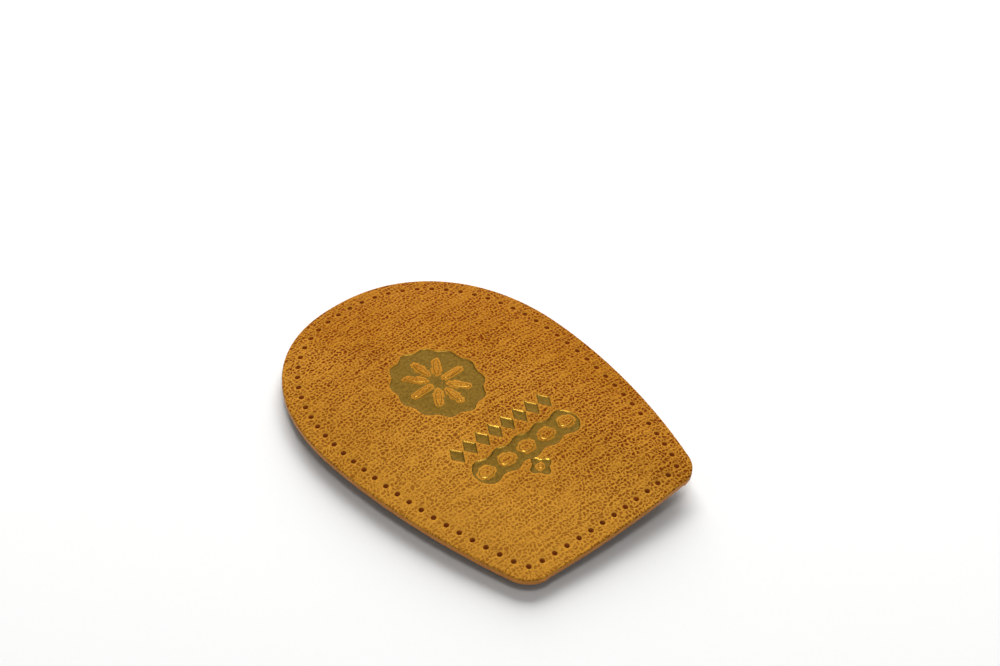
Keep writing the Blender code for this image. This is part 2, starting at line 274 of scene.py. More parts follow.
def leftwards(along):
    """For each direction, the unit vector square to its left."""
    along = along / np.linalg.norm(along, axis=1)[:, None]
    return np.column_stack([-along[:, 1], along[:, 0]])


def inset(loop, distance):
    """The counter-clockwise loop moved inwards by that distance."""
    return loop + leftwards(np.roll(loop, -1, axis=0) - np.roll(loop, 1, axis=0)) * distance


def inside(points, loop):
    """For each point, whether it lies inside the closed loop."""
    crossings = np.zeros(len(points), int)
    for a, b in zip(loop, np.roll(loop, -1, axis=0)):
        if a[1] == b[1]:
            continue
        level = (a[1] > points[:, 1]) != (b[1] > points[:, 1])
        x = a[0] + (b[0] - a[0]) * (points[:, 1] - a[1]) / (b[1] - a[1])
        crossings += level & (x > points[:, 0])
    return crossings % 2 == 1


def distance_to_lines(points, lines):
    """For each point, its distance to the nearest of the open lines."""
    starts = np.vstack([line[:-1] for line in lines])
    steps = np.vstack([line[1:] for line in lines]) - starts
    squares = (steps**2).sum(1)
    nearest = np.empty(len(points))
    chunk = max(1, 4_000_000 // len(starts))
    for i in range(0, len(points), chunk):
        off = points[i : i + chunk, None] - starts
        along = np.clip((off * steps).sum(2) / squares, 0, 1)
        nearest[i : i + chunk] = np.sqrt(((off - along[..., None] * steps) ** 2).sum(2).min(1))
    return nearest


def distance_to_loops(points, loops):
    """For each point, its distance to the nearest of the closed loops."""
    return distance_to_lines(points, [closed(loop) for loop in loops])


def oval(centre, half_x, half_y=None, count=HOLE_SIDES, wave=0.0, lobes=0, turn=0.0):
    """A counter-clockwise oval, or a circle without half_y, with a wavy edge where lobes is given."""
    half_y = half_y or half_x
    turns = np.arange(count) * 2 * math.pi / count
    reach = 1 + wave * np.cos(lobes * turns)
    x, y = half_x * reach * np.cos(turns), half_y * reach * np.sin(turns)
    c, s = math.cos(turn), math.sin(turn)
    return np.column_stack([centre[0] + c * x - s * y, centre[1] + s * x + c * y])


def cut_corners(loop, rounds):
    """Smooths a closed loop of control points by cutting each corner, round after round."""
    for _ in range(rounds):
        after = np.roll(loop, -1, axis=0)
        loop = np.stack([lerp(loop, after, 0.25), lerp(loop, after, 0.75)], 1).reshape(-1, 2)
    return loop


# The pad's form


# The wedge's inner edge from the heel to the front tip, where across is a share of the pad's half width
# and along is a share of its length measured from the heel
INNER_EDGE = [
    # across, along
    (0.90, 0.345),
    (0.80, 0.370),
    (0.52, 0.405),
    (0.20, 0.455),
    (0.00, 0.500),
    (-0.09, 0.600),
    (-0.16, 0.730),
    (-0.26, 0.830),
    (-0.44, 0.905),
    (-0.60, 0.930),
    (-0.70, 0.918),
]


class PadForm:
    """The pad's curves and height functions, worked out from the shape settings."""

    def __init__(self, shape):
        self.shape = shape
        self.half_length = shape.length / 2
        self.half_width = shape.width / 2
        self.centre = np.array((0, shape.heel_depth - self.half_length))
        self.outline = resample(self.leather_edge(), OUTLINE_POINTS)
        spokes = self.outline - self.centre
        turns = np.arctan2(spokes[:, 0], -spokes[:, 1])
        order = np.argsort(turns)
        self.turns, self.reaches = turns[order], np.linalg.norm(spokes, axis=1)[order]

    def front_y(self, x):
        return self.half_length - self.shape.front_bow * (2 * x / self.shape.front_width) ** 2

    def leather_edge(self):
        """The cover's edge as a counter-clockwise loop that starts at the back of the heel."""
        shape = self.shape
        turns = np.arange(SIDE_STEPS) * math.pi / 2 / SIDE_STEPS
        bend = 2 / shape.squareness
        heel_x = self.half_width * np.sin(turns) ** bend
        heel_y = self.centre[1] - shape.heel_depth * np.cos(turns) ** bend
        parts = np.linspace(0, 1, SIDE_STEPS + 1)
        side_x = lerp(self.half_width, shape.front_width / 2, parts**2)
        side_y = lerp(self.centre[1], self.front_y(shape.front_width / 2), parts)
        side = np.column_stack([side_x, side_y])
        radius = shape.corner_radius
        for k in range(1, len(side)):
            along = side[k] - side[k - 1]
            along /= np.linalg.norm(along)
            middle = side[k] + np.array((-along[1], along[0])) * radius
            if self.front_y(middle[0]) - middle[1] <= radius:
                break
        start = math.atan2(side[k][1] - middle[1], side[k][0] - middle[0])
        turns = np.linspace(start, math.pi / 2, CORNER_POINTS)[1:-1]
        arc = middle + np.column_stack([np.cos(turns), np.sin(turns)]) * radius
        front_x = np.linspace(middle[0], 0, FRONT_POINTS)
        front = np.column_stack([front_x, self.front_y(front_x)])
        half = np.vstack([np.column_stack([heel_x, heel_y]), side[: k + 1], arc, front])
        return np.vstack([half, half[1:-1][::-1] * (-1, 1)])

    def rim_share(self, points):
        """0 at the middle of the heel and 1 on the leather's edge."""
        spokes = points - self.centre
        turns = np.arctan2(spokes[:, 0], -spokes[:, 1])
        reach = np.interp(turns, self.turns, self.reaches, period=2 * math.pi)
        return np.linalg.norm(spokes, axis=1) / reach

    def crown(self, points):
        return self.shape.foam_crown * (1 - np.minimum(1, self.rim_share(points)) ** 2)

    def wedge_top(self, points):
        """Rises from the thin side to the thick side, and falls a little towards both ends."""
        shape = self.shape
        thin_x = self.half_width - shape.wedge_inset
        thickness = lerp(shape.wedge_thin, shape.wedge_thick, (thin_x - points[:, 0]) / (2 * thin_x))
        return thickness - shape.droop * (points[:, 1] / self.half_length) ** 2

    def foam_bottom(self, points):
        shape = self.shape
        foam_front = self.front_y(points[:, 0]) - shape.foam_inset
        pared = np.maximum(0, points[:, 1] - foam_front + shape.skive_width) / shape.skive_width
        return self.wedge_top(points) + shape.glue_gap + shape.skive_depth * pared

    def foam_top(self, points):
        shape = self.shape
        return self.wedge_top(points) + shape.glue_gap + shape.foam_edge + self.crown(points)

    def leather_bottom(self, points):
        return self.foam_top(points) + self.shape.glue_gap

    def leather_top(self, points):
        return self.leather_bottom(points) + self.shape.leather

    def wedge_edge(self):
        """The wedge seen from above: round the heel inside the pad's edge, closed by the inner edge."""
        shape = self.shape
        edge = resample(inset(self.outline, shape.wedge_inset), WEDGE_GUIDES)
        heel, front = -self.half_length, self.half_length
        back_y = lerp(heel, front, shape.wedge_back)
        front_y = lerp(heel, front, shape.wedge_front)
        thick_side = [p for p in edge[WEDGE_GUIDES // 2 :] if p[1] < front_y]
        thin_side = [p for p in edge[: WEDGE_GUIDES // 2] if p[1] < back_y]
        inner = [(across * self.half_width, lerp(heel, front, along)) for across, along in INNER_EDGE]
        return resample(cut_corners(np.array(thick_side + thin_side + inner), WEDGE_CUTS), WEDGE_POINTS)

    def punch_centres(self, leather):
        """The punched holes, evenly spaced along a line inside the leather's edge."""
        line = inset(resample(self.outline, PUNCH_GUIDES), leather.punch_inset)
        around = np.linalg.norm(np.roll(line, -1, axis=0) - line, axis=1).sum()
        count = round(around / leather.punch_pitch)
        fine = resample(line, count * PHASE_STEPS)
        return np.roll(fine, -round(leather.punch_phase * PHASE_STEPS), axis=0)[::PHASE_STEPS]


# Solids over a plan


def distance_to_spots(points, spots):
    """For each point, its distance to the nearest of the spots."""
    tree = KDTree(len(spots))
    for k, (x, y) in enumerate(spots):
        tree.insert((x, y, 0), k)
    tree.balance()
    return np.array([tree.find((x, y, 0))[2] for x, y in points])


def spread(loop, spacing, kept):
    """An even field of spots inside the loop, clear of the spots that are kept already."""
    (low_x, low_y), (high_x, high_y) = loop.min(0), loop.max(0)
    field = []
    for k, y in enumerate(np.arange(low_y, high_y, spacing * math.sqrt(3) / 2)):
        field += [(x, y) for x in np.arange(low_x + (k % 2) * spacing / 2, high_x, spacing)]
    field = np.array(field)
    field = field[inside(field, loop)]
    return field[distance_to_spots(field, kept) > CLEARANCE * spacing]


def plan_triangles(loops, spots):
    """Triangles that fill the first loop, leave the other loops open, and keep to the spots.

    Returns the places, the triangles, and the numbers of each loop's places, with the solid on their left.
    """
    faces, first = [], 0
    for loop in loops:
        faces.append(list(range(first, first + len(loop))))
        first += len(loop)
    places = [Vector(p) for p in np.vstack([*loops, spots]) / MM]
    made = delaunay_2d_cdt(places, [], faces, CDT_TRIANGLES, CDT_TOLERANCE)
    found, _, triangles, sources, _, covers = made
    number_of = {source: k for k, group in enumerate(sources) for source in group}
    kept = [tuple(t) for t, cover in zip(triangles, covers) if list(cover) == [0]]
    rims = [[number_of[n] for n in face] for face in faces[:1] + [f[::-1] for f in faces[1:]]]
    return np.array([tuple(p) for p in found]) * MM, kept, rims


def new_object(name, data):
    """Adds an object to the scene."""
    made = bpy.data.objects.new(name, data)
    bpy.context.scene.collection.objects.link(made)
    return made


class Solid:
    """Gathers the faces of one piece and makes its mesh. Every face has the number of its material."""

    def __init__(self):
        self.vertices, self.faces, self.slots, self.marks = [], [], [], {}

    def side(self, loops, spots, height, upward, slot, marks=None):
        """One side of the solid over the plan. slot is a number, or gives a face's material from its middle.

        marks gives a value between 0 and 1 for each place, by the name of its attribute.
        """
        places, triangles, rims = plan_triangles(loops, spots)
        first = len(self.vertices)
        heights = height(places)
        self.vertices += [(x, y, z) for (x, y), z in zip(places, heights)]
        for name, mark in (marks or {}).items():
            self.marks[name] = [0.0] * first + list(mark(places))
        middles = np.array([places[list(t)].mean(0) for t in triangles])
        slots = slot(middles) if callable(slot) else [slot] * len(triangles)
        for corners, number in zip(triangles, slots):
            self.faces.append([first + n for n in (corners if upward else corners[::-1])])
            self.slots.append(int(number))
        return [[first + n for n in rim] for rim in rims]

    def walls(self, lower, upper, slot):
        for low, high in zip(lower, upper):
            for k in range(len(low)):
                j = (k + 1) % len(low)
                self.faces.append((low[k], low[j], high[j], high[k]))
                self.slots.append(slot)

    def piece(self, name, materials, sharp_angle=40):
        mesh = bpy.data.meshes.new(name)
        mesh.from_pydata(self.vertices, [], self.faces)
        for material in materials:
            mesh.materials.append(material)
        mesh.polygons.foreach_set("material_index", self.slots)
        for mark, values in self.marks.items():
            mesh.attributes.new(mark, "FLOAT", "POINT").data.foreach_set("value", values)
        mesh.shade_smooth()
        mesh.set_sharp_from_angle(angle=math.radians(sharp_angle))
        return new_object(name, mesh)


def edge_drop(distance, radius):
    """How far a rounded edge falls, by the distance from the edge."""
    part = np.clip(1 - distance / radius, 0, 1)
    return radius * (1 - np.sqrt(1 - part**2))


# Foil ornaments


def foil_shapes():
    """Each foil patch as its outer loop and the gaps left unprinted in it, by the name of its ornament.

    The numbers are millimetres, and the places are counted from the pad's middle.
    """
    # A scalloped oval with eight petals
    middle = np.array((1.8, -8.0)) * MM
    medallion = [oval(middle, 8.7 * MM, 10.2 * MM, 320, wave=0.035, lobes=12)]
    for k in range(8):
        turn = math.pi * k / 4
        way = np.array((math.cos(turn) * 3.9, math.sin(turn) * 4.9))
        medallion.append(oval(middle + way * MM, 2.1 * MM, 0.5 * MM, 48, turn=math.atan2(way[1], way[0])))
    # A row of eight lozenges
    pitch, row_x, row_y = 3.25, 0.75, 9.4
    corners = np.array([(1.5, 0), (0, 2.3), (-1.5, 0), (0, -2.3)]) * MM
    places = [np.array((row_x + (k - 3.5) * pitch, row_y)) * MM for k in range(8)]
    lozenges = [[resample(place + corners, 32)] for place in places]
    # A wavy bar with rounded ends and five open links
    middle = np.array((0.3, 16.2))
    half_length, half_width, wave, end_radius, pitch = 13, 2.9, 0.35, 1.8, 5.2
    x = np.linspace(-half_length, half_length, 131)
    into_end = (np.abs(x) - (half_length - end_radius)).clip(0)
    ends = np.sqrt(np.clip(1 - into_end**2 / end_radius**2, 0, 1))
    top = np.column_stack([x, (half_width + wave * np.cos(2 * math.pi * x / pitch)) * ends])
    bar = np.vstack([top[::-1], (top * (1, -1))[1:-1]])
    chain = [resample((bar + middle) * MM, 260)]
    chain += [oval((middle + (pitch * k, 0)) * MM, 1.55 * MM, 1.1 * MM, 40) for k in range(-2, 3)]
    # A flower of four petals
    middle = np.array((1.6, 21.6)) * MM
    flower = [oval(middle, 2.1 * MM, count=96, wave=0.2, lobes=4), oval(middle, 0.45 * MM, count=24)]
    return {"foil_medallion": [medallion], "foil_lozenges": lozenges, "foil_chain": [chain, flower]}


def foil_patches():
    """The patches of all ornaments in one list."""
    return [patch for patches in foil_shapes().values() for patch in patches]


def in_patch(points, loops):
    """For each point, whether the foil patch covers it. A point in one of its gaps lies inside two loops."""
    return sum(inside(points, loop).astype(int) for loop in loops) % 2 == 1


def foil_reach(points):
    """How far inside the foil's edge each point lies, and less than 0 outside it."""
    patches = foil_patches()
    reach = np.full(len(points), -math.inf)
    # Points further away than this box from the ornaments need no measuring
    near = (np.abs(points[:, 0]) < 16 * MM) & (np.abs(points[:, 1] - 3 * MM) < 24 * MM)
    close = distance_to_loops(points[near], [loop for patch in patches for loop in patch])
    covered = np.any([in_patch(points[near], patch) for patch in patches], axis=0)
    reach[near] = np.where(covered, close, -close)
    return reach


def pressed(points, foil):
    """How deep the hot die has pressed the leather at each point."""
    return foil.press * smooth(-0.2 * foil.ramp, foil.ramp, foil_reach(points))


# Materials


def linear(hex_colour):
    """An sRGB hex value as linear red, green, blue and alpha."""
    values = [int(hex_colour[k : k + 2], 16) / 255 for k in (1, 3, 5)]
    return (*[v / 12.92 if v <= 0.04045 else ((v + 0.055) / 1.055) ** 2.4 for v in values], 1)


def set_inputs(tree, node, inputs):
    """Sets the node's inputs, and links each one that is another node's output."""
    for key, value in inputs.items():
        if isinstance(value, bpy.types.NodeSocket):
            tree.links.new(value, node.inputs[key])
        else:
            node.inputs[key].default_value = value


def add_node(tree, kind, inputs=None, output=0, **settings):
    """Adds a node of that kind with its settings and inputs, and returns one of its outputs."""
    node = tree.nodes.new("ShaderNode" + kind)
    for key, value in settings.items():
        setattr(node, key, value)
    set_inputs(tree, node, inputs or {})
    return node.outputs[output]


# Makes a Mix node mix colours. Its inputs are then 0, the second colour's share, and 6 and 7, the colours
COLOURS = {"data_type": "RGBA", "output": 2}


def scaled(base, times):
    """A linear colour made darker or lighter."""
    return (*[min(1, part * times) for part in base[:3]], 1)


def new_material(name):
    """Returns an empty material, what adds a node to it, and the place on the piece in millimetres."""
    material = bpy.data.materials.new(name)
    material.use_nodes = True
    add = partial(add_node, material.node_tree)
    place = add("Mapping", {"Vector": add("TexCoord", output="Object"), "Scale": (1 / MM,) * 3})
    return material, add, place


def finished(material, inputs):
    """Sets the inputs of the material's shader, and returns the material."""
    set_inputs(material.node_tree, material.node_tree.nodes["Principled BSDF"], inputs)
    return material


def grain_leather(leather):
    """Aniline-dyed calf leather, embossed with a crosswise pebble grain and waxed."""
    # The eye sees low pits full of dye in a paler net of ridges, in rows across the pad, under a dull wax.
    # Each scale is a number for one millimetre: pebbles 0.78 mm wide with lumps of 0.4 mm in them, which
    # wander over 2 mm, rows 1 mm wide and 5 mm long, and clouds of dye 18 mm wide. The pores, 0.1 mm, are too
    # fine to show, so the pits between the pebbles stand for them
    material, add, place = new_material("leather_aniline_embossed")
    wander = add("TexNoise", {"Vector": place, "Scale": 0.45, "Detail": 3.0}, output="Color")
    bent = add("VectorMath", {0: wander, 1: (1.5, 1.5, 0), 2: place}, operation="MULTIPLY_ADD")
    squeezed = add("Mapping", {"Vector": bent, "Scale": (0.92, 1.08, 1)})
    pebbles = add(
        "TexVoronoi",
        {"Vector": squeezed, "Scale": 1 / (leather.grain / MM), "Randomness": 0.8},
        voronoi_dimensions="2D",
        feature="DISTANCE_TO_EDGE",
    )
    lumps = add("TexNoise", {"Vector": squeezed, "Scale": 2.4, "Detail": 2.0})
    uneven = add("Math", {0: lumps, 1: 0.8, 2: pebbles}, operation="MULTIPLY_ADD")
    waves = {"Vector": bent, "Scale": 0.3, "Distortion": 1.5, "Detail": 1.0, "Detail Scale": 2.0}
    lines = add("TexWave", waves, output="Fac", bands_direction="Y")
    rowed = add("Math", {0: lines, 1: 0.13, 2: uneven}, operation="MULTIPLY_ADD")
    low = {"Value": rowed, "From Min": 0.495, "From Max": 0.78}
    pit = add("MapRange", low, interpolation_type="SMOOTHSTEP")
    rows = add("Mapping", {"Vector": bent, "Scale": (0.2, 0.95, 1), "Rotation": (0, 0, 0.05)})
    streak = add("TexNoise", {"Vector": rows, "Scale": 1.0, "Detail": 2.0, "Roughness": 0.5})
    band = add("MapRange", {"Value": streak, "From Min": 0.36, "From Max": 0.52, "To Min": 0.5})
    banded = add("Math", {0: pit, 1: band}, operation="MULTIPLY")
    # The grain's pits fade towards the thin side and the front, a painted light that makes that side lighter;
    # the grain is also flatter round the punched holes and where the hot die has ironed it
    slant = add("VectorMath", {0: place, 1: (-0.014, -0.008, 0)}, output="Value", operation="DOT_PRODUCT")
    # painted light: fewer dark pits on the thin side and the front, so that side looks lighter
    painted_light_fade = add("MapRange", {"Value": slant, "From Min": -0.5, "From Max": 0.0, "To Min": 0.6})
    grained = add("Math", {0: banded, 1: painted_light_fade}, operation="MULTIPLY")
    ironed = add("Attribute", output="Fac", attribute_name="ironed")
    kept = add("MapRange", {"Value": ironed, "To Min": 1.0, "To Max": 0.3})
    deep = add("Math", {0: grained, 1: kept}, operation="MULTIPLY")
    # The ridges are warmer and darker towards the thick side and the heel, partly a warmer dye and partly
    # painted shade, and darker where the edges are burnished
    cloud = add("TexNoise", {"Vector": place, "Scale": 0.055, "Detail": 4.0})
    dye_cloud_and_painted_shade = add("Math", {0: slant, 1: cloud}, operation="ADD")
    # warm dye and painted shade, growing towards the thick side and the heel
    warm_dye_and_painted_shade = add("MapRange", {"Value": dye_cloud_and_painted_shade, "From Min": 0.2, "From Max": 0.8})
    ridge = add("Mix", {0: warm_dye_and_painted_shade, 6: linear(leather.ridge), 7: linear(leather.warm)}, **COLOURS)
    stained = add("Mix", {0: deep, 6: ridge, 7: linear(leather.pit)}, **COLOURS)
    burnish = add("Attribute", output="Fac", attribute_name="burnish")
    dyed = add("Mix", {0: burnish, 6: stained, 7: linear(leather.edge)}, **COLOURS)
    rough = add("MapRange", {"Value": deep, "To Min": 0.42, "To Max": 0.6})
    high = add("Math", {0: 1.0, 1: deep}, operation="SUBTRACT")
    relief = add("Bump", {"Height": high, "Strength": 0.5, "Distance": 0.12 * MM})
    wax = {"Roughness": rough, "IOR": 1.5, "Specular IOR Level": 0.06}
    return finished(material, {"Base Color": dyed, "Normal": relief, **wax})


def cut_leather_edge(leather):
    """Die-cut edge of leather that is tanned right through."""
    # The eye sees one golden brown line round the cover, a little uneven from its fibres.
    # The bundles of fibres, 0.1 mm thick, are too fine to show and are drawn 0.6 mm wide
    material, add, place = new_material("leather_cut_edge")
    fibres = add("TexNoise", {"Vector": place, "Scale": 1.6, "Detail": 4.0})
    brown = add("Mix", {0: fibres, 6: linear(leather.edge), 7: linear(leather.raw)}, **COLOURS)
    relief = add("Bump", {"Height": fibres, "Strength": 0.4, "Distance": 0.1 * MM})
    return finished(material, {"Base Color": brown, "Roughness": 0.55, "Normal": relief, "IOR": 1.5})


def bare_leather(name, dark, light):
    """Leather without its finish: the shaved flesh side, or the walls that the punch has cut."""
    # The eye sees short matt fibres in a golden tan.
    # They are 0.05 mm thick, too fine to show, and are drawn as tufts of 0.45 mm
    material, add, place = new_material(name)
    fibres = add("TexNoise", {"Vector": place, "Scale": 2.2, "Detail": 6.0, "Roughness": 0.7})
    tan = add("Mix", {0: fibres, 6: linear(dark), 7: linear(light)}, **COLOURS)
    relief = add("Bump", {"Height": fibres, "Strength": 0.6, "Distance": 0.15 * MM})
    return finished(material, {"Base Color": tan, "Roughness": 0.9, "Normal": relief, "IOR": 1.5})


def stamped_foil(foil):
    """Gold-coloured foil: a vapour-deposited metal film under a tinted lacquer, pressed on with a hot die."""
    # The eye sees a dull olive gold lying flat, with bright glints where the die has bent its edges down.
    # The leather's grain of 0.95 mm shows through, and scuffs of 0.6 mm. The film's ripple of 0.05 mm is too
    # fine to show and is drawn 0.33 mm wide
    material, add, place = new_material("gold_foil_hot_stamped")
    grain = add("TexVoronoi", {"Vector": place, "Scale": 1.05}, voronoi_dimensions="2D")
    film = add("TexNoise", {"Vector": place, "Scale": 3.0, "Detail": 3.0})
    rough = add("MapRange", {"Value": film, "From Min": 0.3, "From Max": 0.7, "To Min": 0.3, "To Max": 0.38})
    relief = add("Bump", {"Height": grain, "Strength": 0.25, "Distance": 0.03 * MM})
    scuffs = add("TexNoise", {"Vector": place, "Scale": 1.7, "Detail": 4.0, "Roughness": 0.7})
    scuffed = add("MapRange", {"Value": scuffs, "From Min": 0.35, "From Max": 0.65})
    base = linear(foil.gold)
    lacquered = add("Mix", {0: scuffed, 6: scaled(base, 0.72), 7: scaled(base, 1.28)}, **COLOURS)
    gold = {"Base Color": lacquered, "Metallic": 1.0, "Roughness": rough, "Normal": relief}
    return finished(material, gold)


def brushed_foam(name, hex_colour, roughness):
    """Latex foam with a brushed skin, or the same foam pared with a knife."""
    # The eye sees a matt taupe with a short nap, paler where it is rubbed, and fine open cells. Rubbed places
    # are 14 mm wide. The cells and the nap, 0.2 mm, are too fine to show and are drawn 0.5 mm wide
    material, add, place = new_material(name)
    nap = add("TexNoise", {"Vector": place, "Scale": 1.9, "Detail": 6.0, "Roughness": 0.8})
    rubbed = add("TexNoise", {"Vector": place, "Scale": 0.07, "Detail": 5.0, "Distortion": 0.8})
    base = linear(hex_colour)
    fuzz = add("MapRange", {"Value": nap, "From Min": 0.3, "From Max": 0.7})
    speckled = add("Mix", {0: fuzz, 6: scaled(base, 0.55), 7: scaled(base, 1.45)}, **COLOURS)
    rub = add("MapRange", {"Value": rubbed, "From Min": 0.42, "From Max": 0.7, "To Max": 0.3})
    tone = add("Mix", {0: rub, 6: speckled, 7: scaled(base, 1.35)}, **COLOURS)
    relief = add("Bump", {"Height": nap, "Strength": 0.6, "Distance": 0.14 * MM})
    sheen = {"Sheen Weight": 0.25, "Sheen Roughness": 0.5}
    skin = {"Base Color": tone, "Roughness": roughness, "Normal": relief, "IOR": 1.5}
    return finished(material, {**skin, **sheen})


def glue_film():
    """Dried contact cement, brushed on the foam and seen only at the bottom of the punched holes."""
    # The eye sees an amber film in blobs of 0.4 mm
    material, add, place = new_material("contact_cement_dried")
    blobs = add("TexNoise", {"Vector": place, "Scale": 2.5, "Detail": 2.0})
    brown = add("Mix", {0: blobs, 6: linear("#C26E1E"), 7: linear("#DE9640")}, **COLOURS)
    return finished(material, {"Base Color": brown, "Roughness": 0.6, "IOR": 1.5})


def moulded_white(wedge):
    """White EVA foam rubber, compression moulded against a satin steel mould."""
    # The eye sees a clean off-white with a faint orange-peel skin of 0.7 mm, and patches of dust 8 mm wide
    material, add, place = new_material("eva_foam_rubber_moulded")
    peel = add("TexNoise", {"Vector": place, "Scale": 1.4, "Detail": 4.0})
    dust = add("TexNoise", {"Vector": place, "Scale": 0.12, "Detail": 5.0})
    base = linear(wedge.white)
    tone = add("Mix", {0: dust, 6: scaled(base, 0.93), 7: base}, **COLOURS)
    rough = add("MapRange", {"Value": peel, "From Min": 0.3, "From Max": 0.7, "To Min": 0.4, "To Max": 0.52})
    relief = add("Bump", {"Height": peel, "Strength": 0.25, "Distance": 0.06 * MM})
    return finished(material, {"Base Color": tone, "Roughness": rough, "Normal": relief, "IOR": 1.49})


def matt_floor(hex_colour):
    """Coated paper roll of a photo studio."""
    # The eye sees an even, matt near-white.
    # The fibres, 0.1 mm thick, are too fine to show and are drawn 1.2 mm wide
    material, add, place = new_material("paper_backdrop_coated")
    fibres = add("TexNoise", {"Vector": place, "Scale": 0.8, "Detail": 3.0})
    base = linear(hex_colour)
    tone = add("Mix", {0: fibres, 6: scaled(base, 0.985), 7: base}, **COLOURS)
    return finished(material, {"Base Color": tone, "Roughness": 0.9, "IOR": 1.5})


# Operators


class HEELPAD_OT_cover(bpy.types.Operator):
    """Makes the grained leather cover with its punched holes and the pressed beds of the foil"""

    bl_idname = "heelpad.cover"
    bl_label = "Leather Cover"

    def execute(self, context):
        scene = context.scene
        shape, leather, foil = scene.heelpad_shape, scene.heelpad_leather, scene.heelpad_foil
        form = PadForm(shape)
        centres = form.punch_centres(leather)
        radius = leather.punch_radius
        holes = [oval(c, radius) for c in centres]
        rows = [inset(form.outline, shape.leather_round * s) for s in COVER_ROWS]
        rows += [oval(c, radius + s * MM) for c in centres for s in PUNCH_COLLARS]
        rows += [inset(loop, s * foil.ramp) for patch in foil_patches() for loop in patch for s in BED_ROWS]

        def clear(spots, margin):
            return spots[distance_to_loops(spots, holes) > margin]

        def hole_reach(points):
            return distance_to_spots(points, centres) - radius

        def top(points):
            reach = distance_to_loops(points, [form.outline])
            off = hole_reach(points)
            dimple = leather.dimple * np.exp(-((np.maximum(off, 0) / DIMPLE_REACH) ** 2))
            lowered = edge_drop(reach, shape.leather_round) + dimple + pressed(points, foil)
            return form.leather_top(points) - lowered

        def burnish(points):
            reach = distance_to_loops(points, [form.outline])
            rim = 0.12 * (1 - smooth(0, BURNISH_REACH, reach))
            hole = 0.4 * (1 - smooth(0, BURNISH_REACH, np.maximum(hole_reach(points), 0)))
            return np.maximum(rim, hole)

        def ironed(points):
            collar = 1 - smooth(0.2 * MM, 0.45 * MM, hole_reach(points))
            return np.maximum(collar, smooth(-0.5 * MM, -0.1 * MM, foil_reach(points)))

        loops = [form.outline] + holes
        coarse = clear(spread(form.outline, FLESH_SPACING, np.vstack(loops)), 0.3 * MM)
        field = clear(spread(form.outline, COVER_SPACING, np.vstack(rows + [form.outline])), 0.2 * MM)
        spots = np.vstack(rows + [field])
        solid = Solid()
        lower = solid.side(loops, coarse, form.leather_bottom, False, 2)
        upper = solid.side(loops, spots, top, True, 0, {"burnish": burnish, "ironed": ironed})
        solid.walls(lower[:1], upper[:1], 1)
        solid.walls(lower[1:], upper[1:], 3)
        piece = solid.piece("cover", [
            grain_leather(leather),
            cut_leather_edge(leather),
            bare_leather("leather_flesh_side_shaved", leather.pit, leather.flesh),
            bare_leather("leather_punched_wall", leather.warm, leather.raw),
        ])
        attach(piece, BODY)
        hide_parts("leather_cover")
        return {"FINISHED"}


class HEELPAD_OT_foil(bpy.types.Operator):
    """Lays the gold foil ornaments in their pressed beds on the leather"""

    bl_idname = "heelpad.foil"
    bl_label = "Gold Foil"

    def execute(self, context):
        foil = context.scene.heelpad_foil
        form = PadForm(context.scene.heelpad_shape)
        gold = stamped_foil(foil)

        def top(points):
            return form.leather_top(points) - pressed(points, foil) + foil.lift

        def bottom(points):
            return top(points) - foil.lift * 0.9

        for name, patches in foil_shapes().items():
            solid = Solid()
            for loops in patches:
                rows = [inset(loops[0], s * foil.ramp) for s in FOIL_ROWS]
                rows += [inset(gap, -s * foil.ramp) for gap in loops[1:] for s in FOIL_ROWS]
                spots = np.vstack(rows + [spread(loops[0], FOIL_SPACING, np.vstack(rows + loops))])
                spots = spots[in_patch(spots, loops)]
                lower = solid.side(loops, spots, bottom, False, 0)
                upper = solid.side(loops, spots, top, True, 0)
                solid.walls(lower, upper, 0)
            piece = solid.piece(name, [gold])
            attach(piece, BODY)
        return {"FINISHED"}


